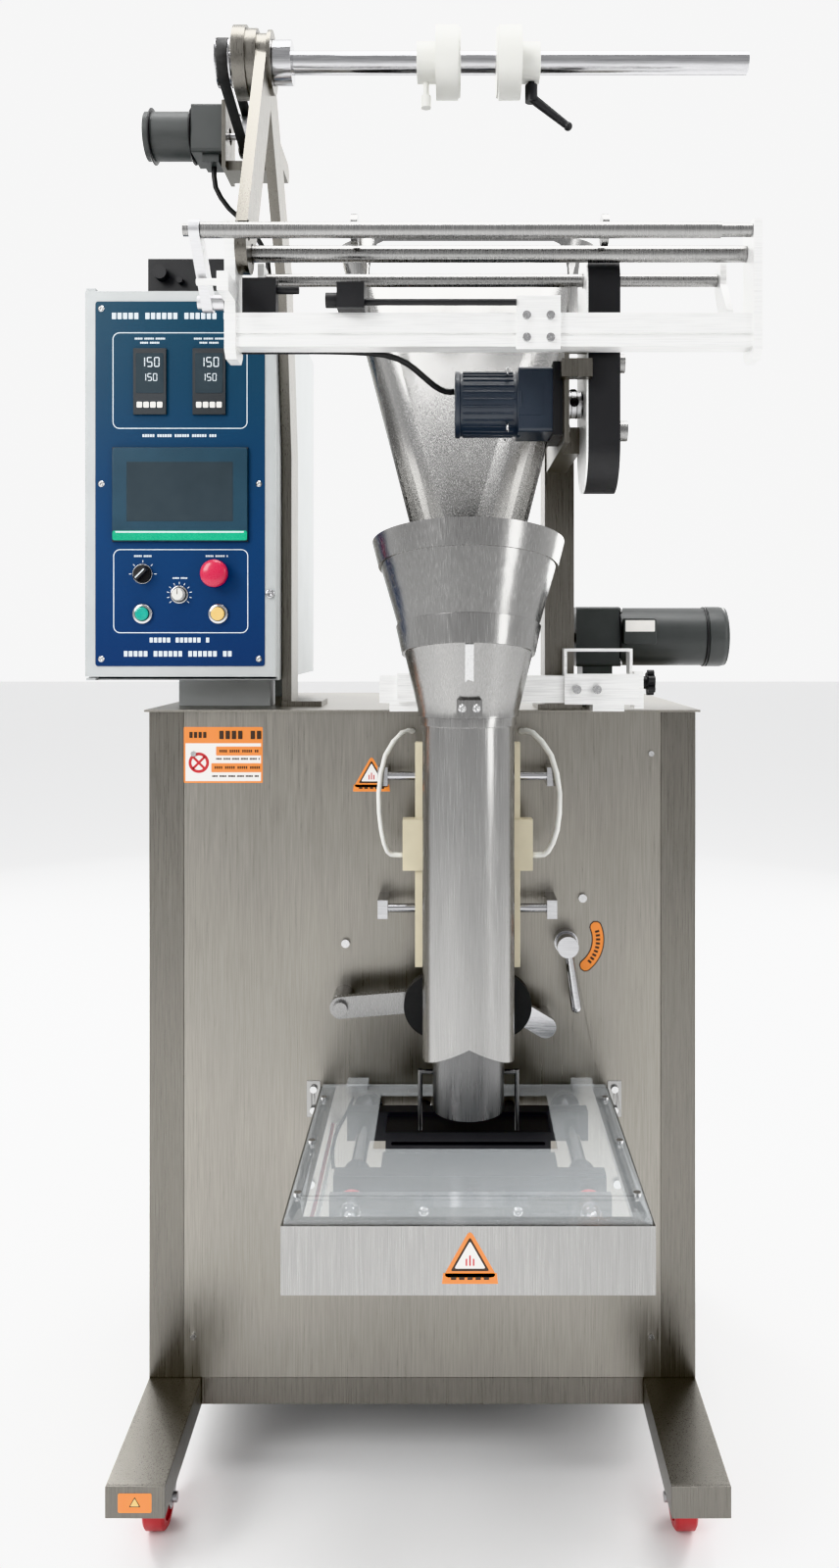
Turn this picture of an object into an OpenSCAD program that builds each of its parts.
// Vertical form fill sealer: a free-standing machine that makes bags from a
// roll of film. Right is +X, the back is +Y and up is +Z.

/* [Cabinet] */
// Width over the corner posts
cab_w = 785; // [700:5:950]
// Depth from the front panel to the back cover
cab_d = 510; // [420:5:620]
// Height of the cabinet top above the floor
cab_top = 1100; // [1090:1:1110]
// Side of a square corner post
post_w = 50; // [40:1:60]
// Side of a cross beam
beam_w = 38; // [30:1:45]
// Thickness of the sheet panels
skin = 2; // [1.5:0.1:2.5]
// Thickness of the top plate
top_t = 3; // [2:0.5:4]
// How far the top plate overhangs the posts
top_lip = 6; // [2:1:12]

/* [Feet] */
// Width of a foot bar
foot_w = 75; // [60:1:90]
// Height of a foot bar
foot_h = 40; // [30:1:45]
// How far a foot bar reaches in front of the cabinet
foot_front = 218; // [190:2:260]
// How far a foot bar reaches behind the cabinet
foot_back = 100; // [90:2:160]
// Overall height of a caster
caster_h = 100; // [95:1:120]
// Caster wheel diameter
wheel_d = 75; // [62:1:80]
// Caster wheel width
wheel_w = 30; // [24:1:34]
// Distance of a caster stem from the end of its foot bar
caster_inset = 100; // [50:2:110]

/* [Forming set] */
// Tube axis, to the right of the cabinet centre
tube_x = 64; // [40:1:80]
// Distance of the tube axis in front of the panel
tube_front = 155; // [145:1:170]
// Outside diameter of the film tube
tube_d = 120; // [90:1:128]
// Wall of the tubes and the collar
tube_wall = 1.5; // [1:0.1:2]
// Height of the lower edge of the film tube
tube_low = 656; // [640:1:680]
// Height of the notch peak above the lower edge
notch_h = 29; // [15:1:35]
// Height where the collar meets the tube
tube_high = 1102; // [1090:1:1112]
// Height of the collar rim
rim_z = 1330; // [1320:1:1380]
// Diameter of the collar rim
rim_d = 254; // [225:1:270]
// Forward tilt of the collar rings, degrees
collar_tilt = 11; // [6:1:12]
// Inner discharge tube diameter
inner_d = 93; // [70:1:100]
// Height of the lower end of the discharge tube
inner_low = 590; // [580:1:620]
// Width of the hopper mouth
hopper_w = 350; // [280:2:380]
// Height of the hopper mouth
hopper_top = 1729; // [1650:1:1760]

/* [Sealing] */
// Width of the guard box
guard_w = 412; // [380:2:440]
// Reach of the guard box in front of the panel
guard_d = 402; // [390:2:440]
// Height of the guard's upper edge
guard_top = 558; // [540:1:570]
// Height of the guard sheet
guard_h = 76; // [60:1:90]
// Thickness of the clear cover
cover_t = 5; // [3:0.5:8]
// Length of a horizontal sealing jaw
jaw_l = 220; // [180:2:230]
// Opening between the horizontal jaws at rest
jaw_gap = 60; // [50:1:64]
// Diameter of the jaw guide shafts
guide_d = 20; // [16:1:24]
// Distance between the jaw guide shafts
guide_span = 282; // [266:2:300]
// Opening between the vertical sealing bars at rest
seal_gap = 14; // [10:1:20]
// Diameter of the film pull rollers
pull_d = 87; // [70:1:92]
// Height of the pull roller axes
pull_z = 701; // [690:1:720]

/* [Film path] */
// Diameter of the roll shaft
roll_d = 30; // [25:1:35]
// Height of the roll shaft axis
roll_z = 1968; // [1940:1:2000]
// Right end of the roll shaft
roll_end = 435; // [380:5:470]
// Outside diameter of a core holder
core_d = 92; // [72:1:96]
// Length of the roller frame's beam between its end plates
frame_l = 611; // [560:1:660]
// Height of the beam
frame_h = 40; // [30:1:46]
// Diameter of the upper guide roller
upper_d = 16; // [12:1:18]
// Diameter of the lower guide roller
lower_d = 20; // [14:1:22]
// Diameter of the driven roller
drive_d = 16; // [12:1:20]
// Diameter of the dancer roller
dancer_d = 18; // [14:1:24]

/* [Control box] */
// Width of the control box
box_w = 277; // [260:1:300]
// Depth of the control box
box_d = 460; // [380:5:500]
// Height of the control box
box_h = 572; // [552:1:620]
// Height of the box underside
box_z = 1141; // [1130:1:1160]
// Thickness of the door
door_t = 16; // [14:1:20]
// Emergency stop head diameter
stop_d = 40; // [36:1:44]
// Push button diameter
button_d = 22; // [20:1:24]

/* [Clearances] */
// Radial clearance of a shaft in its bearing
run_fit = 0.05; // [0.02:0.01:0.1]
// Clearance between parts that move past each other
pass_gap = 0.5; // [0.3:0.1:1]
// Joint line between welded tubes
weld_gap = 0.2; // [0.1:0.1:0.4]

/* [Hidden] */
$fn = 48;

// Cabinet levels
foot_top = caster_h + foot_h;
panel_top = cab_top - top_t;
inner_half = cab_w / 2 - post_w;

// Forming set places
tube_y = -tube_front;
tube_r = tube_d / 2;
seat_r = tube_r + 3;
foot_r = seat_r + 3;
foot_z = tube_high + 8;
throat_z = tube_high + 95;
throat_d = 174;
band_z = throat_z + 20;
cone_slope = (throat_d / 2 + tube_wall - foot_r) / (throat_z + 6 - foot_z);
band_d = 184;
rim_low = rim_z - 31;
rim_low_d = rim_d - 17;
chute_z = rim_z + 2;
chute_low_d = 143;
mouth_front = -150;
mouth_back = 80;
mount_y0 = -42;
mount_y1 = -4;
mount_yc = (mount_y0 + mount_y1) / 2;
mount_h = 38;
mount_plate_x = 200;
mount_plate_t = 5;
knob_z = cab_top + 40;

// Sealing places
jaw_z = 530;
jaw_h = 30;
head_h = 40;
head_w = guide_span + 50;
front_head = tube_y - 109;
head_t = 24;
front_face = tube_y - jaw_gap / 2;
rear_face = tube_y + jaw_gap / 2;
rear_head = -70;
knife_t = 3;
guard_x = 60;
guard_y = -guard_d;
sheet = 1.5;
rod_d = 12;
seal_rod_y = -42;
seal_rod_z = [825, 1010];
seal_y0 = -88;
seal_y1 = -62;
seal_t = 25;
pull_off = pull_d / 2 + 0.2;
pull_shaft = 12;
arm_y0 = -60;
arm_t = 12;
swing_at = [-112, pull_z - 11];
handle_at = [205, 770];

// Film path places
roll_y = -126;
mast_x = -213;
mast_t = 14;
beam_y0 = -302;
beam_y1 = -272;
beam_z = 1548;
beam_x0 = mast_x;
beam_x1 = beam_x0 + frame_l;
end_t = [13, 10];
upper_at = [-297, 1687];
lower_at = [-268, 1668];
drive_at = [-221, 1650];
motor_at = [-208, 1497];
spindle = 8;
dancer_pivot = [-300, 1600];
dancer_stop = [-342, 1612];
dancer_at = [-370, 1662];
dancer_x = -252;
dancer_l = 584;
arm_x = 178;
arm_w = 28;
motor_plate = 6;
cover_x = arm_x + arm_w + 2;
cover_w = 39;
cover_r = 55;
cover_ends = [1440, 1634];
belt_r = 16;
unwind_at = [40, 1940];
unwind_r = 28;
unwind_x = -269;
unwind_face = -289;
core_x = [-4, 101];
core_len = 33;
collar_len = 25;
collar_d = 52;

// Control box places
box_x1 = mast_x - 1;
box_x0 = box_x1 - box_w;
box_y = 40;
door_y = 20;
door_z0 = box_z + 5.5;
door_h = box_h - 11;
hinge_at = [box_x0 + 6, door_y + door_t / 2 + 2];
mid_x = (box_x0 + box_x1) / 2;
stop_at = [mid_x + 53, 1296];
switch_at = [mid_x - 54, 1296];
speed_at = [mid_x - 1, 1266];
green_at = [mid_x - 54, 1238];
yellow_at = [mid_x + 56, 1238];
meter_at = [[mid_x - 43, 1575], [mid_x + 43, 1575]];
screen_at = [mid_x + 1, 1411];

// Gearmotor on the cabinet top
top_motor_x = 230;
top_motor_at = [128, 1205];
top_motor_l = 232;

// Origin: under the middle of the whole machine
origin_x = (box_x0 + top_motor_x + top_motor_l) / 2;
origin_y = (guard_y + cab_d + foot_back) / 2;

// Heater and motor leads, as routes of points
seal_lead_right = [[142, -0.8, 1070], [142, -14, 1070], [156, -36, 1070], [180, -60, 1040],
    [190, -76, 990], [186, -80, 940], [174, -75, 910], [164, -73, 905], [153.5, -73, 905]];
seal_lead_left = [[-14, -0.8, 1070], [-14, -14, 1070], [-28, -36, 1070], [-50, -60, 1040],
    [-58, -76, 990], [-54, -80, 940], [-46, -75, 910], [-36, -73, 905], [-25.5, -73, 905]];
jaw_lead_left = [[-100, -0.5, 540], [-104, -40, 538], [-112, -90, 536], [-114, -150, 534],
    [-108, -200, 532]];
film_motor_lead = [[45.3, -208, 1514], [34, -208, 1514], [20, -215, 1520], [4, -228, 1531],
    [-14, -243, 1542], [-40, -256, 1549], [-80, -262, 1551], [-130, -264, 1551.5], [-180, -264, 1551.5],
    [-212.5, -264, 1551.5]];
unwind_lead = [[-306, 34, 1892.5], [-304, 36, 1864], [-286, 44, 1836], [-252, 56, 1806],
    [-232, 64, 1764], [-230, 66, 1713.5]];

// Box between two corners
module span(x0, x1, y0, y1, z0, z1) {
    translate([x0, y0, z0]) cube([x1 - x0, y1 - y0, z1 - z0]);
}
// Cylinders along the three axes
module bar_x(x0, x1, y, z, d) {
    translate([x0, y, z]) rotate([0, 90, 0]) cylinder(h = x1 - x0, d = d);
}
module bar_y(x, y0, y1, z, d) {
    translate([x, y0, z]) rotate([-90, 0, 0]) cylinder(h = y1 - y0, d = d);
}
module bar_z(x, y, z0, z1, d) {
    translate([x, y, z0]) cylinder(h = z1 - z0, d = d);
}
// Flat bar with round ends between two points; its ends stand a hair proud of
// its sides, so that no edge is tangent to another
module link2d(a, b, w) {
    run = b - a;
    side = w - 0.1;
    for (p = [a, b]) translate(p) circle(d = w);
    translate(a) rotate(atan2(run[1], run[0])) translate([0, -side / 2]) square([norm(run), side]);
}
// Outline in the YZ plane, drawn as (y, z), made into a plate along X
module plate_x(x, t) {
    translate([x, 0, 0]) rotate([90, 0, 90]) linear_extrude(t) children();
}
// Outline in the XZ plane, drawn as (x, z), made into a plate along Y
module plate_y(y, t) {
    translate([0, y + t, 0]) rotate([90, 0, 0]) linear_extrude(t) children();
}
// Tube with square corners along Z
module box_tube(x0, x1, y0, y1, z0, z1, wall) {
    difference() {
        span(x0, x1, y0, y1, z0, z1);
        span(x0 + wall, x1 - wall, y0 + wall, y1 - wall, z0 - 1, z1 + 1);
    }
}
// Rounded rectangle with a corner at the origin
module round_rect(w, h, r) {
    translate([r, 0]) square([w - 2 * r, h]);
    translate([0, r]) square([w, h - 2 * r]);
    for (x = [r, w - r], y = [r, h - r]) translate([x, y]) circle(r = r);
}

// Smooth route through the points, and a round lead swept along it
function at(p, i) = p[max(0, min(len(p) - 1, i))];
function curve(p, i, t) = 0.5 * (2 * at(p, i) + (at(p, i + 1) - at(p, i - 1)) * t
    + (2 * at(p, i - 1) - 5 * at(p, i) + 4 * at(p, i + 1) - at(p, i + 2)) * t * t
    + (3 * at(p, i) - at(p, i - 1) - 3 * at(p, i + 1) + at(p, i + 2)) * t * t * t);
function smooth(p) = concat([for (i = [0 : len(p) - 2]) for (t = [0, 0.5]) curve(p, i, t)],
    [p[len(p) - 1]]);
function unit(v) = v / norm(v);
function heading(p, i) = unit(at(p, i + 1) - at(p, i - 1));
lead_sides = 8;
module lead(points, d) {
    route = smooth(points);
    side = [0.31, 0.85, 0.42];
    rings = [for (i = [0 : len(route) - 1])
        let (u = unit(cross(heading(route, i), side)), v = cross(heading(route, i), u))
        for (k = [0 : lead_sides - 1])
            route[i] + d / 2 * (cos(360 * k / lead_sides) * u + sin(360 * k / lead_sides) * v)];
    walls = [for (i = [0 : len(route) - 2]) for (k = [0 : lead_sides - 1])
        let (a = i * lead_sides + k, b = i * lead_sides + (k + 1) % lead_sides)
        [a, b, b + lead_sides, a + lead_sides]];
    first = [for (k = [lead_sides - 1 : -1 : 0]) k];
    last = [for (k = [0 : lead_sides - 1]) (len(route) - 1) * lead_sides + k];
    polyhedron(rings, concat([first], walls, [last]), convexity = 6);
}

// ---- Base and cabinet ----
module foot_bar(side) {
    cap = 3;
    x0 = side < 0 ? -cab_w / 2 : cab_w / 2 - foot_w;
    difference() {
        span(x0, x0 + foot_w, cap + weld_gap - foot_front,
            cab_d + foot_back - cap - weld_gap, caster_h, foot_top);
        span(x0 + 3, x0 + foot_w - 3, -foot_front, cab_d + foot_back, caster_h + 3, foot_top - 3);
        for (y = [-foot_front + caster_inset, cab_d + foot_back - caster_inset])
            bar_z(x0 + foot_w / 2, y, caster_h - 1, caster_h + 4, stem_d + 2 * run_fit);
    }
    for (y = [-foot_front, cab_d + foot_back - cap]) span(x0, x0 + foot_w, y, y + cap, caster_h, foot_top);
}
module cabinet_frame() color([0.72, 0.71, 0.69]) {
    for (side = [-1, 1]) {
        foot_bar(side);
        for (y = [0, cab_d - post_w])
            translate([side * (cab_w / 2 - post_w / 2) - post_w / 2, y, foot_top + weld_gap])
                cube([post_w, post_w, panel_top - foot_top - weld_gap]);
        for (z = [foot_top + weld_gap, panel_top - beam_w])
            translate([side * (cab_w / 2 - skin - beam_w / 2) - beam_w / 2, post_w + weld_gap, z])
                cube([beam_w, cab_d - 2 * (post_w + weld_gap), beam_w]);
    }
    for (y = [skin, cab_d - skin - beam_w], z = [foot_top + weld_gap, panel_top - beam_w])
        span(weld_gap - inner_half, inner_half - weld_gap, y, y + beam_w, z, z + beam_w);
    for (y = [0, cab_d - beam_w])
        span(weld_gap - cab_w / 2 + foot_w, cab_w / 2 - foot_w - weld_gap, y, y + beam_w,
            foot_top - beam_w, foot_top);
}
module front_panel() color([0.74, 0.73, 0.71]) difference() {
    span(weld_gap - inner_half, inner_half - weld_gap, 0, skin, foot_top + weld_gap, panel_top);
    // clearance holes for the shafts that pass through
    for (p = [[tube_x + pull_off, pull_z, pull_shaft], [swing_at[0], swing_at[1], pull_shaft],
            [handle_at[0], handle_at[1], 14], [tube_x - 60, jaw_z, 16], [tube_x + 60, jaw_z, 16]])
        bar_y(p[0], -1, skin + 1, p[1], p[2] + 4 * pass_gap);
}
module cabinet_panels() color([0.72, 0.71, 0.69]) {
    z0 = foot_top + weld_gap;
    for (side = [-1, 1])
        translate([side * (cab_w / 2 - skin / 2) - skin / 2, post_w + weld_gap, z0])
            cube([skin, cab_d - 2 * (post_w + weld_gap), panel_top - weld_gap - z0]);
    difference() {
        span(weld_gap - inner_half, inner_half - weld_gap, cab_d - skin, cab_d, z0, panel_top - weld_gap);
        for (z = [300 : 24 : 420]) span(-110, 110, cab_d - skin - 1, cab_d + 1, z, z + 8);
    }
    span(-cab_w / 2 - top_lip, cab_w / 2 + top_lip, -top_lip, cab_d + top_lip, panel_top, cab_top);
}

// ---- Casters ----
stem_d = 12;
axle_d = 8;
trail = 24;
fork_t = 2.5;
pedal_at = [trail + 32, 80];
foot_x = cab_w / 2 - foot_w / 2;
front_stem_y = -foot_front + caster_inset;
rear_stem_y = cab_d + foot_back - caster_inset;
module caster_fork(x, y, swivel) color([0.62, 0.62, 0.63]) translate([x, y, 0]) {
    top = caster_h - (swivel ? pass_gap : 0);
    half = wheel_w / 2 + 1.5;
    if (swivel) bar_z(0, 0, top - 1, caster_h + 20, stem_d);
    bar_z(0, 0, top - 6, top, 52);
    span(-half - fork_t, half + fork_t, -22, pedal_at[0] - 6, top - 8, top - 5);
    for (x0 = [-half - fork_t, half])
        plate_x(x0, fork_t) difference() {
            polygon([[-22, top - 5], [-22, top - 20], [trail - 12, wheel_d / 2 - 8],
                [trail, wheel_d / 2 - 12], [trail + 12, wheel_d / 2 - 8],
                [pedal_at[0] + 8, pedal_at[1] - 6], [pedal_at[0] + 8, pedal_at[1] + 6],
                [pedal_at[0] - 6, top - 5]]);
            translate(pedal_at) circle(d = 5 + 2 * run_fit);
        }
    bar_x(-half - fork_t - 3, half + fork_t + 3, trail, wheel_d / 2, axle_d);
    for (x0 = [-half - fork_t - 6, half + fork_t]) bar_x(x0, x0 + 6, trail, wheel_d / 2, 13);
}
module caster_wheel(x, y) translate([x, y + trail, wheel_d / 2]) rotate([0, 90, 0])
    color([0.75, 0.12, 0.12]) difference() {
        union() {
            translate([0, 0, -wheel_w / 2 + 3]) cylinder(h = wheel_w - 6, d = wheel_d);
            for (s = [0, 1]) mirror([0, 0, s])
                translate([0, 0, wheel_w / 2 - 3]) cylinder(h = 3, d1 = wheel_d, d2 = wheel_d - 8);
        }
        cylinder(h = wheel_w + 2, d = axle_d + 2 * run_fit, center = true);
        for (s = [0, 1]) mirror([0, 0, s]) translate([0, 0, wheel_w / 2 - 4])
            difference() { cylinder(h = 5, d = wheel_d - 22); cylinder(h = 5, d = 20); }
    }
module brake_pedal(x, y) color([0.7, 0.1, 0.1])
    translate([x, y + pedal_at[0], pedal_at[1]]) {
        half = wheel_w / 2 + 1.5;
        bar_x(-half - fork_t - 2, half + fork_t + 2, 0, 0, 5);
        bar_x(-half + 1, half - 1, 0, 0, 12);
        span(-half + 1, half - 1, 0, 40, -2, 3);
        bar_x(-half + 1, half - 1, 40, 0.5, 5);
    }
module rear_caster_forks() {
    for (side = [-1, 1]) caster_fork(side * foot_x, rear_stem_y, false);
}
module caster_fork_left() caster_fork(-foot_x, front_stem_y, true);
module caster_fork_right() caster_fork(foot_x, front_stem_y, true);
module brake_pedal_left() brake_pedal(-foot_x, front_stem_y);
module brake_pedal_right() brake_pedal(foot_x, front_stem_y);
module caster_wheel_fl() caster_wheel(-foot_x, front_stem_y);
module caster_wheel_fr() caster_wheel(foot_x, front_stem_y);
module caster_wheel_rl() caster_wheel(-foot_x, rear_stem_y);
module caster_wheel_rr() caster_wheel(foot_x, rear_stem_y);

// ---- Forming set ----
module filling_chute() color([0.78, 0.78, 0.77]) {
    peg_z = tube_low - 16;
    rod_x = tube_r + 3;
    inner_r = inner_d / 2;
    translate([tube_x, tube_y, 0]) {
        // straight discharge tube, then a short cone
        rotate_extrude() polygon([[inner_r - tube_wall, inner_low], [inner_r, inner_low],
            [inner_r, throat_z + 20], [chute_low_d / 2, chute_z], [chute_low_d / 2 - tube_wall, chute_z],
            [inner_r - tube_wall, throat_z + 20]]);
        // lugs that keep it central in the film tube
        for (a = [30, 150, 270]) rotate(a)
            translate([inner_r - 0.5, -3, tube_high - 22])
                cube([tube_r - tube_wall - 0.3 - inner_r + 0.5, 6, 12]);
        // film spreader rods
        for (s = [-1, 1]) {
            bar_z(s * rod_x, 0, 561, peg_z, 6);
            bar_x(s < 0 ? -rod_x : inner_r - 1, s < 0 ? 1 - inner_r : rod_x, 0, peg_z - 3, 6);
        }
    }
    // hopper sheet, open at the front
    difference() {
        hopper_form(0);
        hopper_form(tube_wall);
        translate([tube_x - hopper_w, mouth_front - 400, chute_z + 12]) cube([2 * hopper_w, 400, 500]);
    }
}
// Solid form of the hopper, made smaller by the sheet for its inside
module hopper_form(inset) {
    hull() {
        translate([tube_x, tube_y, chute_z - (inset > 0 ? 1 : 0)])
            cylinder(h = 1, r = chute_low_d / 2 - inset, $fn = 40);
        translate([tube_x - hopper_w / 2 + inset, mouth_front + inset, hopper_top - (inset > 0 ? 0 : 1)])
            linear_extrude(inset > 0 ? 2 : 1)
                round_rect(hopper_w - 2 * inset, mouth_back - mouth_front - 2 * inset, 60, $fn = 40);
    }
}
module forming_collar() color([0.75, 0.74, 0.72]) translate([tube_x, tube_y, 0]) {
    cone_z = throat_z + 6;
    difference() {
        union() {
            // lower cone stands upright
            rotate_extrude() polygon([[seat_r - tube_wall, tube_high], [foot_r, tube_high],
                [foot_r, foot_z], [throat_d / 2 + tube_wall, cone_z], [throat_d / 2, cone_z],
                [seat_r - tube_wall, foot_z - 2]]);
            // flared part leans forward
            translate([0, 0, throat_z]) rotate([-collar_tilt, 0, 0]) translate([0, 0, -throat_z])
                rotate_extrude() polygon([[throat_d / 2 - 4, throat_z - 16], [throat_d / 2, throat_z - 16],
                    [band_d / 2 + 3, band_z], [band_d / 2, band_z], [rim_low_d / 2 - 3, rim_low - 2],
                    [rim_low_d / 2, rim_low - 2], [rim_d / 2, rim_z], [rim_d / 2 - tube_wall, rim_z],
                    [band_d / 2 - tube_wall, band_z]]);
            // seam lug
            span(-16, 16, -foot_r - 12, -seat_r + 1, tube_high + 4, tube_high + 24);
        }
        rotate_extrude() polygon([[0, tube_high - 1], [seat_r - tube_wall, tube_high - 1],
            [seat_r - tube_wall, foot_z - 2], [throat_d / 2 - 4.5, cone_z - 18], [0, cone_z - 18]]);
        for (s = [-1, 1]) bar_y(s * 9, -foot_r - 14, -foot_r - 3, tube_high + 14, 5);
    }
}
module forming_tube() color([0.76, 0.76, 0.75]) difference() {
    translate([tube_x, tube_y, 0]) rotate_extrude()
        polygon([[tube_r - tube_wall, tube_low], [tube_r, tube_low],
            [tube_r, tube_high - 12], [tube_r + 3, tube_high - 12], [tube_r + 3, tube_high],
            [tube_r - tube_wall, tube_high]]);
    plate_y(tube_y - tube_r - 1, tube_r + 1)
        polygon([[tube_x - tube_r, tube_low - 1], [tube_x, tube_low + notch_h], [tube_x + tube_r, tube_low - 1]]);
}
module tube_mount() color([0.86, 0.86, 0.85]) {
    z0 = cab_top + 12;
    z1 = z0 + mount_h;
    difference() {
        union() {
            span(-59, 298, mount_y0, mount_y1, z0, z1);
            for (x = [-45, 240]) span(x, x + 44, mount_y0, 34, cab_top, z0);
            // saddle behind the collar
            span(tube_x - 50, tube_x + 50, tube_y + 36, mount_y0 + 1, z0, z0 + 22);
        }
        // seat of the collar's cone
        translate([tube_x, tube_y, 0]) rotate_extrude()
            polygon([[0, z0 - 1], [foot_r + 0.3 + (z0 - 1 - foot_z) * cone_slope, z0 - 1],
                [foot_r + 0.3 + (z0 + 30 - foot_z) * cone_slope, z0 + 30], [0, z0 + 30]]);
        bar_x(255, 300, mount_yc, knob_z, 10 + 2 * run_fit);
    }
    // clamp on the left, block, plate and bracket on the right
    span(-34, -8, mount_y0 - 10, mount_y0, z0 + 2, z1 + 4);
    difference() {
        union() {
            span(298, 311, mount_y0, mount_y1, z0 - 8, z1 + 6);
            span(mount_plate_x, 304, mount_y0 - mount_plate_t, mount_y0, z0 - 2, z1 + 3);
        }
        bar_x(297, 312, mount_yc, knob_z, 10 + 2 * run_fit);
    }
    for (x = [mount_plate_x, 292]) span(x, x + 4, mount_y0 + 2, mount_y1 - 2, z1, z1 + 34);
    span(mount_plate_x, 296, mount_y0 + 2, mount_y1 - 2, z1 + 34, z1 + 38);
}
module tube_knob() color([0.08, 0.08, 0.08]) {
    bar_x(262, 314, mount_yc, knob_z, 10);
    translate([313, mount_yc, knob_z]) rotate([0, 90, 0]) {
        cylinder(h = 7, d = 18);
        translate([0, 0, 5]) cylinder(h = 11, d = 24);
        for (a = [0 : 60 : 300]) rotate(a + 10) translate([13, 0, 5.6]) cylinder(h = 9.8, d = 10.6);
    }
}

// ---- Vertical seal and film pull ----
// Bar, heater block and carriage, drawn for the left side
module seal_jaw() {
    face = -seal_gap / 2;
    inner = face - seal_t;
    color([0.83, 0.77, 0.6]) difference() {
        union() {
            span(inner, face, seal_y0, seal_y1, pull_z + pull_d / 2 + 8, 1060);
            span(-89, inner, seal_y0 + 4, seal_y1, 885, 955);
            span(-72, -61, seal_y0 + 8, seal_y1, 752, 1060);
            for (z = seal_rod_z) span(-72, inner + 8, seal_y1, seal_rod_y + 14, z - 18, z + 18);
            for (z = seal_rod_z) span(-72, inner + 8, seal_y0 + 10, seal_y1, z - 8, z + 8);
        }
        for (z = seal_rod_z) bar_x(-90, 0, seal_rod_y, z, rod_d + 2 * run_fit);
    }
}
module seal_jaw_left() translate([tube_x, 0, 0]) seal_jaw();
module seal_jaw_right() translate([tube_x, 0, 0]) mirror([1, 0, 0]) seal_jaw();
module guide_brackets() color([0.7, 0.7, 0.7]) {
    // guide shafts of the horizontal jaws, their tie bar and the actuator
    tie_y = front_head - 36;
    rod_end = tie_y - 12;
    for (s = [-1, 1]) {
        x = tube_x + s * guide_span / 2;
        bar_y(x, rod_end - 8, 0, jaw_z, guide_d);
        bar_y(x, -8, 0, jaw_z, guide_d + 22);
        bar_y(x, rod_end - 16, rod_end, jaw_z, guide_d - 2);
        translate([x, rod_end - 16, jaw_z]) sphere(d = guide_d - 2);
    }
    difference() {
        union() {
            span(tube_x - head_w / 2, tube_x + head_w / 2, rod_end, tie_y, jaw_z - 18, jaw_z + 18);
            span(tube_x - 66, tube_x + 66, rod_end - 30, rod_end, jaw_z - 22, jaw_z + 20);
        }
        bar_y(tube_x, rod_end - 24, tie_y + 1, jaw_z, 14 + 2 * run_fit);
    }
    // guide rods of the vertical seal bars
    for (z = seal_rod_z) {
        bar_x(tube_x - 124, tube_x + 124, seal_rod_y, z, rod_d);
        for (s = [-1, 1])
            translate([tube_x + s * 118 - 7, seal_rod_y - 12, z - 13]) cube([14, 12 - seal_rod_y, 26]);
    }
    // boss of the swing arm, boss of the release handle and arm of the right roller
    difference() {
        union() {
            bar_y(swing_at[0], arm_y0 + arm_t + pass_gap, 0, swing_at[1], 30);
            bar_y(handle_at[0], -19, 0, handle_at[1], 34);
            plate_y(arm_y0, arm_t) link2d([tube_x + pull_off, pull_z], [172, pull_z - 38], 30);
            bar_y(172, arm_y0 + arm_t, 0, pull_z - 38, 24);
        }
        bar_y(swing_at[0], arm_y0, 1, swing_at[1], pull_shaft + 2 * run_fit);
        bar_y(handle_at[0], -20, 1, handle_at[1], 14 + 2 * run_fit);
        bar_y(tube_x + pull_off, arm_y0 - 1, 0, pull_z, pull_shaft + 2 * run_fit);
    }
}
module pull_roller(x, back) color([0.2, 0.2, 0.2]) {
    bar_y(x, -88, -70, pull_z, pull_d);
    bar_y(x, -92, -88, pull_z, 30);
    bar_y(x, -70, arm_y0 - pass_gap, pull_z, 22);
    bar_y(x, -88, back, pull_z, pull_shaft);
}
module pull_roller_left() pull_roller(tube_x - pull_off, arm_y0 + arm_t + 3);
module pull_roller_right() pull_roller(tube_x + pull_off, skin + 28);
module swing_arm() color([0.68, 0.68, 0.68]) {
    difference() {
        plate_y(arm_y0, arm_t) link2d(swing_at, [tube_x - pull_off, pull_z], 30);
        bar_y(tube_x - pull_off, arm_y0 - 1, arm_y0 + arm_t + 1, pull_z, pull_shaft + 2 * run_fit);
    }
    bar_y(swing_at[0], arm_y0 - 4, skin + 12, swing_at[1], pull_shaft);
    bar_y(swing_at[0], arm_y0 - 8, arm_y0, swing_at[1], 20);
}
module release_handle() color([0.8, 0.8, 0.8]) {
    bar_y(handle_at[0], -46, -20, handle_at[1], 30);
    bar_y(handle_at[0], -20, skin + 14, handle_at[1], 14);
    translate([handle_at[0], -38, handle_at[1]]) rotate([0, -8, 0]) {
        translate([0, 0, -87]) cylinder(h = 80, d1 = 15, d2 = 11);
        translate([0, 0, -87]) sphere(d = 15);
    }
}

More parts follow.
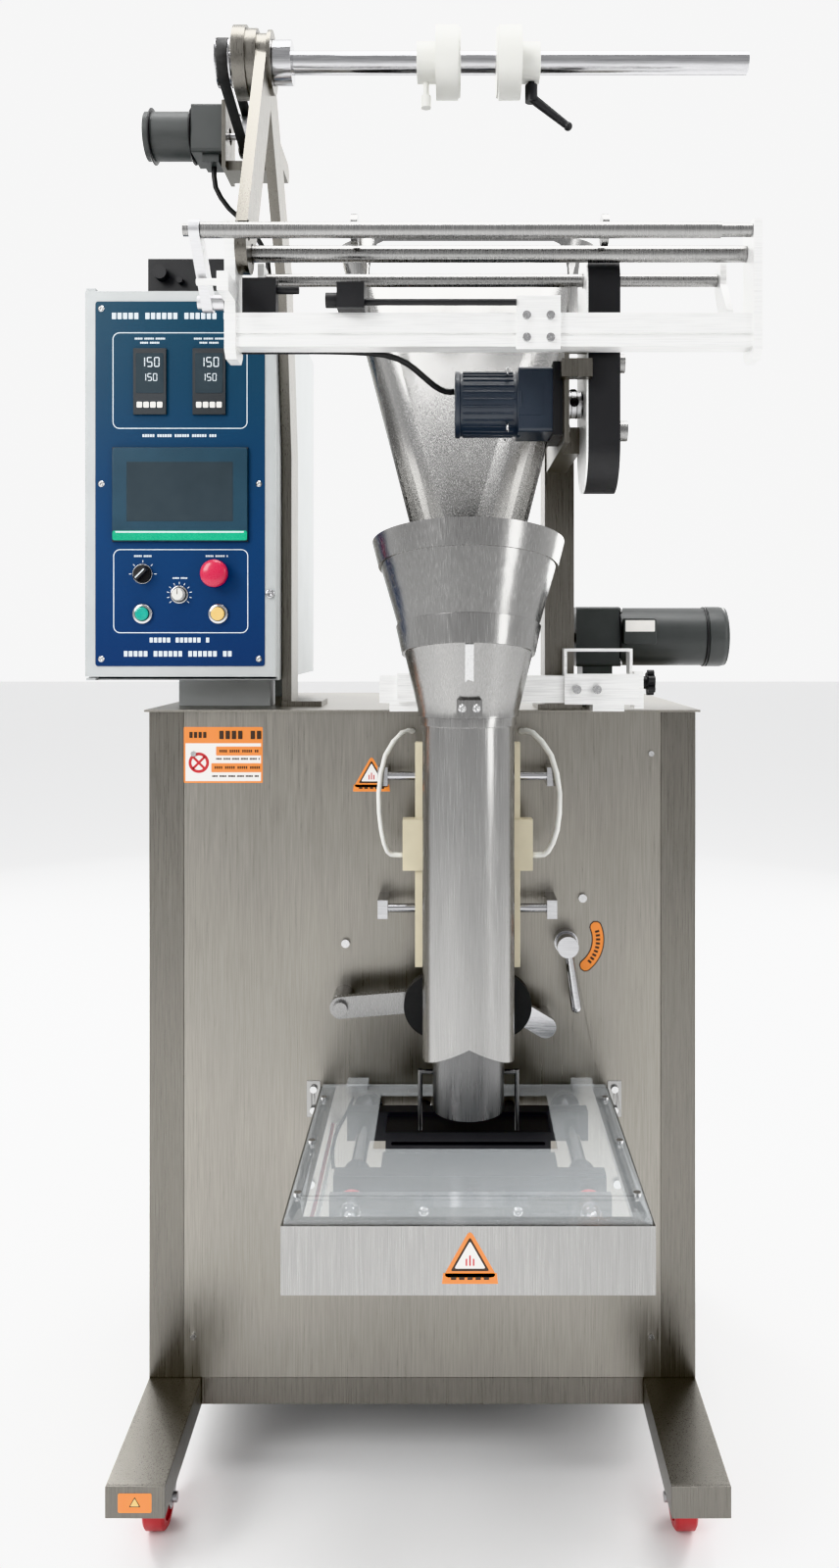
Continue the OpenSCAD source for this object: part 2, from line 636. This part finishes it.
// ---- Guard, horizontal jaws and knife ----
module guard_box() color([0.74, 0.74, 0.73]) {
    x0 = guard_x - guard_w / 2;
    x1 = guard_x + guard_w / 2;
    lip = 22;
    difference() {
        span(x0, x1, guard_y, 0, guard_top - guard_h, guard_top);
        span(x0 + sheet, x1 - sheet, guard_y + sheet, 1, guard_top - guard_h - 1, guard_top - sheet);
        span(x0 + lip, x1 - lip, guard_y + lip, 1, guard_top - 5, guard_top + 1);
        for (x = [x0 + lip / 2, x1 - lip / 2], y = [guard_y + 60, guard_y / 2, -60])
            bar_z(x, y, guard_top - 5, guard_top + 1, 5);
    }
    span(x0 + 1, x1 - 1, guard_y, guard_y + 14, guard_top - guard_h, guard_top - guard_h + sheet);
    // ears on the panel
    for (x = [x0 - 20, x1]) difference() {
        span(x, x + 20, -sheet, 0, guard_top - 43, guard_top + 9);
        for (z = [guard_top - 32, guard_top - 2]) bar_y(x + 10, -sheet - 1, 1, z, 6);
    }
}
module guard_cover() color([0.8, 0.88, 0.9, 0.4]) {
    x0 = guard_x - guard_w / 2 + 3;
    x1 = guard_x + guard_w / 2 - 3;
    difference() {
        span(x0, x1, guard_y + 3, -3, guard_top, guard_top + cover_t);
        span(tube_x - 121, tube_x + 111, -217, -35, guard_top - 1, guard_top + cover_t + 1);
        for (x = [guard_x - guard_w / 2 + 11, guard_x + guard_w / 2 - 11], y = [guard_y + 60, guard_y / 2, -60])
            bar_z(x, y, guard_top - 1, guard_top + cover_t + 1, 5);
    }
    for (x = [-106, 212]) span(x, x + 30, -34, -10, guard_top + cover_t, guard_top + cover_t + 12);
}
module jaw_bores() {
    for (s = [-1, 1]) bar_y(tube_x + s * guide_span / 2, -420, 10, jaw_z, guide_d + 2 * run_fit);
}
module front_jaw() color([0.1, 0.1, 0.1]) {
    difference() {
        union() {
            span(tube_x - head_w / 2, tube_x + head_w / 2, front_head, front_head + head_t,
                jaw_z - head_h / 2, jaw_z + head_h / 2);
            for (s = [-1, 1]) bar_y(tube_x + s * guide_span / 2, front_head + head_t, front_head + head_t + 30,
                jaw_z, guide_d + 14);
            span(tube_x - jaw_l / 2, tube_x + jaw_l / 2, front_head + head_t, front_face,
                jaw_z - jaw_h / 2, jaw_z + jaw_h / 2);
        }
        jaw_bores();
        span(tube_x - jaw_l / 2 + 8, tube_x + jaw_l / 2 - 8, front_head + head_t + 4, front_face + 1,
            jaw_z - knife_t / 2 - pass_gap, jaw_z + knife_t / 2 + pass_gap);
    }
    // push rod that runs into the actuator
    bar_y(tube_x, front_head - 66, front_head, jaw_z, 14);
}
module rear_jaw() color([0.1, 0.1, 0.1]) {
    difference() {
        union() {
            span(tube_x - head_w / 2, tube_x + head_w / 2, rear_head, rear_head + head_t,
                jaw_z - head_h / 2, jaw_z + head_h / 2);
            span(tube_x - jaw_l / 2, tube_x + jaw_l / 2, rear_face, rear_head,
                jaw_z - jaw_h / 2, jaw_z + jaw_h / 2);
        }
        jaw_bores();
        span(tube_x - jaw_l / 2 + 8, tube_x + jaw_l / 2 - 8, rear_face - 1, rear_face + 18,
            jaw_z - knife_t / 2 - pass_gap, jaw_z + knife_t / 2 + pass_gap);
    }
    for (s = [-1, 1]) bar_y(tube_x + s * 60, rear_head + head_t, skin + 60, jaw_z, 16);
}
module cutter_knife() color([0.8, 0.8, 0.8]) {
    half = jaw_l / 2 - 10;
    translate([0, 0, jaw_z - knife_t / 2]) linear_extrude(knife_t) difference() {
        translate([tube_x - half, front_face - 44]) square([2 * half, 41]);
        for (i = [0 : 19]) translate([tube_x - half + (i + 0.5) * half / 10, front_face - 3])
            polygon([[-half / 20, 1], [0, -6], [half / 20, 1]]);
    }
}

// ---- Mast and unwinding ----
module mast() color([0.6, 0.6, 0.59]) {
    // post on the right with the arm that carries the film feed
    difference() {
        union() {
            box_tube(arm_x - 2, arm_x + 40, 0, 85, cab_top, 1500, 3);
            plate_x(arm_x, arm_w) polygon([[-180, 1440], [1, 1440], [1, 1474], [-180, 1474]]);
            // motor plate, the pad on the beam and a spacer block
            plate_x(arm_x, motor_plate) polygon([[-178, 1440], [-178, 1530], [-204, beam_z + frame_h],
                [beam_y1, beam_z + frame_h], [beam_y1, 1440]]);
            span(arm_x, arm_x + arm_w, beam_y1, beam_y1 + 9, beam_z, beam_z + frame_h);
            span(arm_x - 4, arm_x + arm_w + 5, beam_y1 - 10, beam_y1 + 8, 1517, 1539);
            span(arm_x - 2, arm_x + 40, 0, 85, 1494, 1500);
            span(arm_x - 12, arm_x + 52, 0, 110, cab_top, cab_top + 8);
        }
        bar_x(arm_x - 1, arm_x + motor_plate + 1, motor_at[0], motor_at[1], 24);
    }
    // A-shaped plate on the left with the roll shaft's bearing
    difference() {
        union() {
            plate_x(mast_x, mast_t) {
                link2d([roll_y, roll_z], [-284, 1670], 62);
                link2d([roll_y, roll_z], [60, 1730], 72);
                link2d([60, 1730], [120, 1480], 76);
                link2d([-60, 1888], [44, 1888], 28);
                translate([82, cab_top]) square([76, 1480 - cab_top]);
            }
            bar_x(mast_x + mast_t, mast_x + mast_t + 5, roll_y, roll_z, 80);
            bar_x(mast_x - 14, mast_x, roll_y, roll_z, 84);
            bar_x(mast_x - 31, mast_x - 14, roll_y, roll_z, 92);
            span(mast_x, mast_x + 60, 76, 164, cab_top, cab_top + 8);
            // bracket of the unwind motor
            span(unwind_face + 6, mast_x, 15, 65, 1881, 1895);
            span(unwind_face, unwind_face + 6, unwind_at[0] - 38, unwind_at[0] + 38, 1881, 1978);
        }
        bar_x(mast_x - 32, mast_x + mast_t + 6, roll_y, roll_z, roll_d + 2 * run_fit);
        // the guide rollers pass through the front leg
        for (p = [upper_at, lower_at])
            bar_x(mast_x - 1, mast_x + mast_t + 1, p[0], p[1], max(upper_d, lower_d) + 8 * pass_gap);
        bar_x(unwind_face - 1, unwind_face + 7, unwind_at[0], unwind_at[1], 24);
    }
}
module belt_pulley(x, at, w, r, rim) {
    bar_x(x, x + w, at[0], at[1], 2 * r);
    for (x0 = [x, x + w - 2]) bar_x(x0, x0 + 2, at[0], at[1], 2 * (r + rim));
}
module roll_shaft() color([0.7, 0.7, 0.7]) {
    bar_x(unwind_x - 2, roll_end, roll_y, roll_z, roll_d);
    belt_pulley(unwind_x, [roll_y, roll_z], 20, unwind_r, 3);
    bar_x(mast_x + mast_t + 5 + pass_gap, mast_x + mast_t + 30, roll_y, roll_z, 57);
}
module core_bore(x0, x1) bar_x(x0 - 1, x1 + 1, roll_y, roll_z, roll_d + 2 * run_fit);
module core_holder_left() color([0.93, 0.93, 0.9]) {
    x = core_x[0];
    difference() {
        union() {
            bar_x(x, x + collar_len, roll_y, roll_z, collar_d);
            bar_x(x + collar_len, x + collar_len + core_len - 3, roll_y, roll_z, core_d);
            bar_x(x + collar_len, x + collar_len + core_len, roll_y, roll_z, core_d - 6);
            bar_z(x + 12, roll_y, roll_z - collar_d / 2 - 22, roll_z - roll_d / 2 - 2, 8);
            bar_z(x + 12, roll_y, roll_z - collar_d / 2 - 34, roll_z - collar_d / 2 - 18, 14);
        }
        core_bore(x, x + collar_len + core_len);
    }
}
module core_holder_right() color([0.93, 0.93, 0.9]) {
    x = core_x[1];
    difference() {
        union() {
            bar_x(x + core_len, x + core_len + collar_len, roll_y, roll_z, collar_d);
            bar_x(x + 3, x + core_len, roll_y, roll_z, core_d);
            bar_x(x, x + core_len, roll_y, roll_z, core_d - 6);
        }
        core_bore(x, x + core_len + collar_len);
        bar_z(x + core_len + 14, roll_y, roll_z - collar_d / 2 - 1, roll_z, 8 + 2 * run_fit);
    }
}
module core_clamp_lever() color([0.1, 0.1, 0.1]) {
    x = core_x[1] + core_len + 14;
    low = roll_z - collar_d / 2;
    bar_z(x, roll_y, low - 14, roll_z - roll_d / 2 - 1, 8);
    bar_z(x, roll_y, low - 26, low - 4, 17);
    translate([x, roll_y, low - 20]) rotate([0, 128, 0]) cylinder(h = 62, d1 = 13, d2 = 10);
    translate([x, roll_y, low - 20]) rotate([0, 128, 0]) translate([0, 0, 62]) sphere(d = 12);
}
module unwind_pulley() color([0.7, 0.7, 0.7]) {
    bar_x(unwind_face - 22, unwind_x + 20, unwind_at[0], unwind_at[1], 10);
    belt_pulley(unwind_x, unwind_at, 20, unwind_r, 3);
}
// Flat belt round two equal pulleys
module belt(x, w, a, b, r, t) {
    plate_x(x, w) difference() {
        link2d(a, b, 2 * (r + t));
        link2d(a, b, 2 * r);
    }
}
module drive_belts() color([0.05, 0.05, 0.05]) {
    belt(unwind_x + 3, 14, [roll_y, roll_z], unwind_at, unwind_r + 0.3, 2.4);
    belt(cover_x + 12, 14, motor_at, drive_at, belt_r + 0.3, 2);
}
// Gearmotor with its shaft end at the origin and the motor towards -X
module gearmotor(size, gear_l, motor_l, bore) {
    difference() {
        union() {
            translate([-gear_l, 0, 0]) rotate([90, 0, 90]) linear_extrude(gear_l)
                translate([-size / 2, -size / 2]) round_rect(size, size, 5);
            translate([-gear_l - motor_l, 0, 0]) rotate([0, 90, 0]) cylinder(h = motor_l, d = size - 1);
        }
        translate([-30, 0, 0]) rotate([0, 90, 0]) cylinder(h = 31, d = bore + 2 * run_fit);
    }
}
module gearmotors() color([0.4, 0.41, 0.41]) {
    // unwinding
    translate([unwind_face, unwind_at[0], unwind_at[1]]) gearmotor(70, 45, 71, 10);
    span(unwind_face - 30, unwind_face - 6, unwind_at[0] - 26, unwind_at[0] + 14, unwind_at[1] - 47,
        unwind_at[1] - 35);
    // main drive on the cabinet top, shaft to the left
    translate([top_motor_x, top_motor_at[0], top_motor_at[1]]) rotate(180) gearmotor(90, 65, 167, 18);
    span(top_motor_x + 4, top_motor_x + 61, top_motor_at[0] - 50, top_motor_at[0] + 50, cab_top, cab_top + 10);
    span(top_motor_x + 10, top_motor_x + 55, top_motor_at[0] - 40, top_motor_at[0] + 40, cab_top + 10,
        top_motor_at[1] - 45);
    // pull rollers, behind the front panel
    translate([tube_x + pull_off, skin, pull_z]) rotate(-90) gearmotor(70, 45, 110, pull_shaft);
}
module seal_crank() color([0.66, 0.66, 0.66]) {
    y = top_motor_at[0];
    z = top_motor_at[1];
    bar_x(top_motor_x - 12, top_motor_x + 28, y, z, 18);
    bar_x(top_motor_x - 24, top_motor_x - 10, y, z, 74);
    bar_x(top_motor_x - 44, top_motor_x - 24, y, z + 24, 12);
}

// ---- Film feed ----
module end_plate(x, t, tab) {
    low = beam_z - 5 - 9;
    difference() {
        plate_x(x, t) {
            polygon([[-307, low + 10], [-297, low], [-265, low], [-255, low + 10], [-255, 1698], [-307, 1698]]);
            if (tab) translate([-352, 1600]) square([46, 22]);
        }
        for (p = [upper_at, lower_at]) bar_x(x - 1, x + t + 1, p[0], p[1], spindle + 2 * run_fit);
        if (tab) bar_x(x - 1, x + t + 1, dancer_pivot[0], dancer_pivot[1], 10 + 2 * run_fit);
    }
}
module roller_frame() color([0.9, 0.9, 0.89]) {
    difference() {
        span(beam_x0, beam_x1, beam_y0, beam_y1, beam_z, beam_z + frame_h);
        span(beam_x0 - 1, beam_x1 + 1, beam_y0 - 1, beam_y0 + 3, beam_z + 12, beam_z + 16);
    }
    end_plate(beam_x0 - end_t[0], end_t[0], true);
    end_plate(beam_x1, end_t[1], false);
    // stop pin of the dancer arm
    bar_x(dancer_x + 1, beam_x0 - 6, dancer_stop[0], dancer_stop[1], 8);
    // clamp plate on the beam
    span(118, 170, beam_y0 - 8, beam_y0, beam_z - 5, beam_z + 58);
    // bearing brackets of the driven roller
    for (x = [-198, 374]) difference() {
        plate_x(x, 8) polygon([[beam_y1, beam_z + 12], [beam_y1 + 16, beam_z + 12], [-204, 1640], [-204, 1666],
            [-238, 1666], [-238, 1640], [beam_y1, 1600]]);
        bar_x(x - 1, x + 9, drive_at[0], drive_at[1], spindle + 2 * run_fit);
    }
    // back plate of the belt cover
    difference() {
        plate_x(arm_x + arm_w, 2) link2d([motor_at[0], cover_ends[0]], [motor_at[0], cover_ends[1]], 2 * cover_r);
        bar_x(arm_x, cover_x + 1, motor_at[0], motor_at[1], 34);
        bar_x(arm_x, cover_x + 1, drive_at[0], drive_at[1], drive_d + 4);
    }
}
module roller(at, d, x0, x1, end0, end1) {
    bar_x(x0, x1, at[0], at[1], d);
    bar_x(x0 - end0, x1 + end1, at[0], at[1], spindle);
}
module roller_upper() color([0.75, 0.75, 0.75]) {
    roller(upper_at, upper_d, beam_x0 + 1, beam_x1 - 1, 11, 9);
    for (x = [-77, 219]) bar_x(x, x + 8, upper_at[0], upper_at[1], 37);
}
module roller_lower() color([0.75, 0.75, 0.75])
    roller(lower_at, lower_d, beam_x0 + 1, beam_x1 - 1, 11, 9);
module drive_roller() color([0.7, 0.7, 0.7]) {
    roller(drive_at, drive_d, -189, 373, 9, 9);
    belt_pulley(cover_x + 9, drive_at, 20, belt_r, 2.5);
}
module dancer_arm() color([0.72, 0.72, 0.72]) {
    difference() {
        plate_x(dancer_x, 12) link2d(dancer_pivot, dancer_at, 24);
        bar_x(dancer_x - 1, dancer_x + 13, dancer_at[0], dancer_at[1], spindle + 2 * run_fit);
    }
    bar_x(dancer_x, beam_x0 - 1, dancer_pivot[0], dancer_pivot[1], 10);
    bar_x(dancer_x + 12, beam_x0 - end_t[0] - pass_gap, dancer_pivot[0], dancer_pivot[1], 18);
    bar_x(dancer_x - 6, dancer_x, dancer_pivot[0], dancer_pivot[1], 16);
}
module dancer_roller() color([0.75, 0.75, 0.75]) {
    x0 = dancer_x + 12 + pass_gap;
    bar_x(x0, x0 + dancer_l, dancer_at[0], dancer_at[1], dancer_d);
    bar_x(dancer_x - 8, x0, dancer_at[0], dancer_at[1], spindle);
    bar_x(dancer_x - 8, dancer_x - pass_gap, dancer_at[0], dancer_at[1], 14);
}
module film_motor() color([0.18, 0.2, 0.24]) {
    difference() {
        union() {
            translate([arm_x, motor_at[0], motor_at[1]]) gearmotor(80, 54, 78, 12);
            span(arm_x - 12, arm_x, motor_at[0] - 45, motor_at[0] + 45, motor_at[1] - 45, motor_at[1] + 45);
        }
        bar_x(arm_x - 30, arm_x + 1, motor_at[0], motor_at[1], 12 + 2 * run_fit);
    }
}
module film_pulley() color([0.7, 0.7, 0.7]) {
    bar_x(arm_x - 28, cover_x + 31, motor_at[0], motor_at[1], 12);
    bar_x(arm_x + motor_plate + 2, arm_x + arm_w - 2, motor_at[0], motor_at[1], 34);
    belt_pulley(cover_x + 9, motor_at, 20, belt_r, 2.5);
}
module belt_cover() color([0.07, 0.07, 0.07]) {
    low = [motor_at[0], cover_ends[0]];
    high = [motor_at[0], cover_ends[1]];
    difference() {
        plate_x(cover_x, cover_w) link2d(low, high, 2 * cover_r);
        plate_x(cover_x - 1, cover_w - 1) link2d(low, high, 2 * (cover_r - 2));
        bar_x(cover_x, cover_x + cover_w + 1, drive_at[0], drive_at[1], drive_d + 4);
    }
    bar_x(cover_x + cover_w, cover_x + cover_w + 13, motor_at[0], 1549, 24);
    bar_x(cover_x + cover_w, cover_x + cover_w + 16, motor_at[0], 1464, 26);
}
module film_sensors() color([0.15, 0.15, 0.15]) {
    y = beam_y0 - 8;
    // rod with the photo-eye
    bar_x(-60, 118, y, beam_z + 50, 8);
    span(-92, -60, y - 14, y + 14, beam_z + 40, beam_z + 70);
    bar_x(-106, -92, y, beam_z + 52, 18);
    // limit switch of the dancer, on the beam
    span(-206, -166, beam_y0 + 2, beam_y0 + 22, beam_z + frame_h, beam_z + frame_h + 42);
    bar_x(-166, -140, beam_y0 + 12, beam_z + frame_h + 30, 10);
}

// ---- Control box ----
module control_box() color([0.82, 0.82, 0.8]) {
    difference() {
        span(box_x0, box_x1, box_y, box_y + box_d, box_z, box_z + box_h);
        span(box_x0 + 2, box_x1 - 2, box_y - 1, box_y + box_d - 2, box_z + 2, box_z + box_h - 2);
        bar_z(box_x1 - 60, box_y + 60, box_z - 1, box_z + 3, 32);
    }
    // hinge lugs with their pins
    for (top = [0, 1]) {
        z = top ? box_z + box_h - 4 : box_z;
        span(box_x0, box_x0 + 14, hinge_at[1] - 5, box_y, z, z + 4);
        bar_z(hinge_at[0], hinge_at[1], top ? z - 12 : z, top ? z + 4 : z + 16, 5);
    }
    // foot that stands on the cabinet top
    span(-cab_w / 2 + 20, box_x1 - 20, box_y + 60, box_y + 110, cab_top, box_z);
    span(-cab_w / 2 + 20, box_x1 - 20, box_y + box_d - 120, box_y + box_d - 70, cab_top, box_z);
}
module door_hole(p, w, h) translate([p[0] - w / 2, door_y - 1, p[1] - h / 2]) cube([w, door_t + 2, h]);
module control_door() color([0.8, 0.81, 0.8]) {
    x0 = box_x0;
    x1 = box_x1;
    difference() {
        union() {
            span(x0, x1, door_y, door_y + 2, door_z0, door_z0 + door_h);
            difference() {
                span(x0, x1, door_y, door_y + door_t, door_z0, door_z0 + door_h);
                span(x0 + 2, x1 - 2, door_y - 1, door_y + door_t + 1, door_z0 + 2, door_z0 + door_h - 2);
            }
            // blocks that take the hinge pins
            for (z = [door_z0, door_z0 + door_h - 18]) span(x0, x0 + 13, door_y, door_y + door_t, z, z + 18);
        }
        bar_z(hinge_at[0], hinge_at[1], door_z0 - 1, door_z0 + door_h + 1, 5 + 2 * run_fit);
        for (m = meter_at) door_hole(m, 45, 92);
        door_hole(screen_at, 190, 130);
        bar_y(stop_at[0], door_y - 1, door_y + 4, stop_at[1], button_d + 0.5);
        bar_y(switch_at[0], door_y - 1, door_y + 4, switch_at[1], button_d + 0.5);
        bar_y(green_at[0], door_y - 1, door_y + 4, green_at[1], button_d + 0.5);
        bar_y(yellow_at[0], door_y - 1, door_y + 4, yellow_at[1], button_d + 0.5);
        bar_y(speed_at[0], door_y - 1, door_y + 4, speed_at[1], 9);
    }
}
// Bezel ring and body behind the door for a 22 mm device, bored for its plunger
module device(p, plunger) difference() {
    union() {
        bar_y(p[0], door_y - 4, door_y, p[1], button_d + 7);
        bar_y(p[0], door_y, door_y + 46, p[1], button_d);
    }
    bar_y(p[0], door_y - 5, door_y + 30, p[1], plunger);
}
plunger_d = 16;
module door_instruments() color([0.12, 0.13, 0.14]) {
    for (m = meter_at) {
        translate([m[0] - 24, door_y - 5, m[1] - 48]) cube([48, 5, 96]);
        translate([m[0] - 22, door_y, m[1] - 45]) cube([44, 58, 90]);
    }
    translate([screen_at[0] - 98.5, door_y - 5, screen_at[1] - 68.5]) cube([197, 5, 137]);
    translate([screen_at[0] - 94, door_y, screen_at[1] - 64]) cube([188, 34, 128]);
    for (p = [stop_at, switch_at, green_at, yellow_at]) device(p, plunger_d + 2 * run_fit);
    difference() {
        bar_y(speed_at[0], door_y - 2, door_y, speed_at[1], 26);
        bar_y(speed_at[0], door_y - 3, door_y + 1, speed_at[1], 6.3 + 2 * run_fit);
    }
    difference() {
        bar_y(speed_at[0], door_y + 2, door_y + 24, speed_at[1], 24);
        bar_y(speed_at[0], door_y, door_y + 18, speed_at[1], 6.3 + 2 * run_fit);
    }
}
module e_stop() color([0.8, 0.12, 0.2]) {
    bar_y(stop_at[0], door_y - 27, door_y - 15, stop_at[1], stop_d);
    bar_y(stop_at[0], door_y - 15, door_y - 9, stop_at[1], 24);
    bar_y(stop_at[0], door_y - 9, door_y + 20, stop_at[1], plunger_d);
}
module mode_switch() color([0.05, 0.05, 0.06]) {
    bar_y(switch_at[0], door_y - 9, door_y - 4 - pass_gap, switch_at[1], button_d + 2);
    bar_y(switch_at[0], door_y - 9, door_y + 20, switch_at[1], plunger_d);
    translate([switch_at[0], 0, switch_at[1]]) rotate([0, 45, 0])
        span(-4, 4, door_y - 20, door_y - 8, -11, 11);
}
module speed_knob() color([0.9, 0.9, 0.88]) {
    bar_y(speed_at[0], door_y - 15, door_y - 2 - pass_gap, speed_at[1], 19);
    bar_y(speed_at[0], door_y - 15, door_y + 14, speed_at[1], 6.3);
}
module push_button(p) {
    bar_y(p[0], door_y - 8.5, door_y + 20, p[1], plunger_d);
    bar_y(p[0], door_y - 9.5, door_y - 8, p[1], plunger_d + 4);
}
module green_button() color([0.05, 0.6, 0.5]) push_button(green_at);
module yellow_button() color([0.95, 0.8, 0.45]) push_button(yellow_at);
module counter_unit() color([0.12, 0.12, 0.12]) {
    top = box_z + box_h;
    span(mid_x - 57, mid_x + 61, box_y + 20, box_y + 140, top + 5, top + 54);
    for (x = [mid_x - 50, mid_x + 46], y = [box_y + 30, box_y + 120]) bar_z(x + 4, y + 4, top, top + 5, 10);
    bar_y(mid_x - 36, box_y + 4, box_y + 20, top + 30, 20);
    bar_y(mid_x - 8, box_y + 10, box_y + 20, top + 20, 9);
}
module control_internals() color([0.85, 0.85, 0.8]) {
    y = box_y + box_d - 2;
    plate_t = 3;
    // mounting plate on stand-offs
    span(box_x0 + 20, box_x1 - 20, y - 15, y - 15 + plate_t, box_z + 25, box_z + box_h - 25);
    for (x = [box_x0 + 30, box_x1 - 30], z = [box_z + 40, box_z + box_h - 40])
        bar_y(x, y - 15 + plate_t, y, z, 12);
    // drives, supply, controller and contactors
    for (part = [[36, 400, 90, 110, 130], [140, 400, 110, 95, 90], [36, 250, 200, 100, 60],
            [36, 70, 110, 120, 95], [160, 70, 80, 120, 110]])
        translate([box_x0 + part[0], y - 15 - part[4], box_z + part[1]]) cube([part[2], part[4], part[3]]);
}

// ---- Leads and screws ----
module wiring() color([0.9, 0.9, 0.88]) {
    lead(seal_lead_right, 8);
    lead(seal_lead_left, 7);
    lead(jaw_lead_left, 5);
    lead(film_motor_lead, 8);
    lead(unwind_lead, 8);
}
module screw_y(x, y, z, d) bar_y(x, y - 0.5 * d, y, z, d);
module screw_z(x, y, z, d) bar_z(x, y, z, z + 0.5 * d, d);
module screws() color([0.6, 0.6, 0.6]) {
    for (p = [[-110, 765], [230, 830], [-160, 420], [280, 420]]) screw_y(p[0], 0, p[1], 12);
    for (x = [guard_x - guard_w / 2 - 10, guard_x + guard_w / 2 + 10], z = [guard_top - 32, guard_top - 2])
        screw_y(x, -sheet, z, 10);
    for (x = [guard_x - guard_w / 2 + 11, guard_x + guard_w / 2 - 11], y = [guard_y + 60, guard_y / 2, -60])
        screw_z(x, y, guard_top + cover_t, 9);
    for (x = [130, 158], z = [beam_z + 8, beam_z + 34]) screw_y(x, beam_y0 - 8, z, 10);
    for (x = [mount_plate_x + 17, mount_plate_x + 45])
        screw_y(x, mount_y0 - mount_plate_t, cab_top + 12 + mount_h / 2, 12);
    for (s = [-1, 1], x = [inner_half - 14]) for (z = [foot_top + 60, panel_top - 60]) screw_y(s * x, 0, z, 8);
}

// ---- Everything in the machine's own frame ----
module placed() translate([-origin_x, -origin_y, 0]) children();
placed() cabinet_frame();
placed() front_panel();
placed() cabinet_panels();
placed() rear_caster_forks();
placed() caster_fork_left();
placed() caster_fork_right();
placed() brake_pedal_left();
placed() brake_pedal_right();
placed() caster_wheel_fl();
placed() caster_wheel_fr();
placed() caster_wheel_rl();
placed() caster_wheel_rr();
placed() filling_chute();
placed() forming_collar();
placed() forming_tube();
placed() tube_mount();
placed() tube_knob();
placed() seal_jaw_left();
placed() seal_jaw_right();
placed() guide_brackets();
placed() pull_roller_left();
placed() pull_roller_right();
placed() swing_arm();
placed() release_handle();
placed() guard_box();
placed() guard_cover();
placed() front_jaw();
placed() rear_jaw();
placed() cutter_knife();
placed() gearmotors();
placed() seal_crank();
placed() mast();
placed() roll_shaft();
placed() core_holder_left();
placed() core_holder_right();
placed() core_clamp_lever();
placed() unwind_pulley();
placed() drive_belts();
placed() roller_frame();
placed() roller_upper();
placed() roller_lower();
placed() drive_roller();
placed() dancer_arm();
placed() dancer_roller();
placed() film_motor();
placed() film_pulley();
placed() belt_cover();
placed() film_sensors();
placed() control_box();
placed() control_door();
placed() door_instruments();
placed() e_stop();
placed() mode_switch();
placed() speed_knob();
placed() green_button();
placed() yellow_button();
placed() counter_unit();
placed() control_internals();
placed() wiring();
placed() screws();
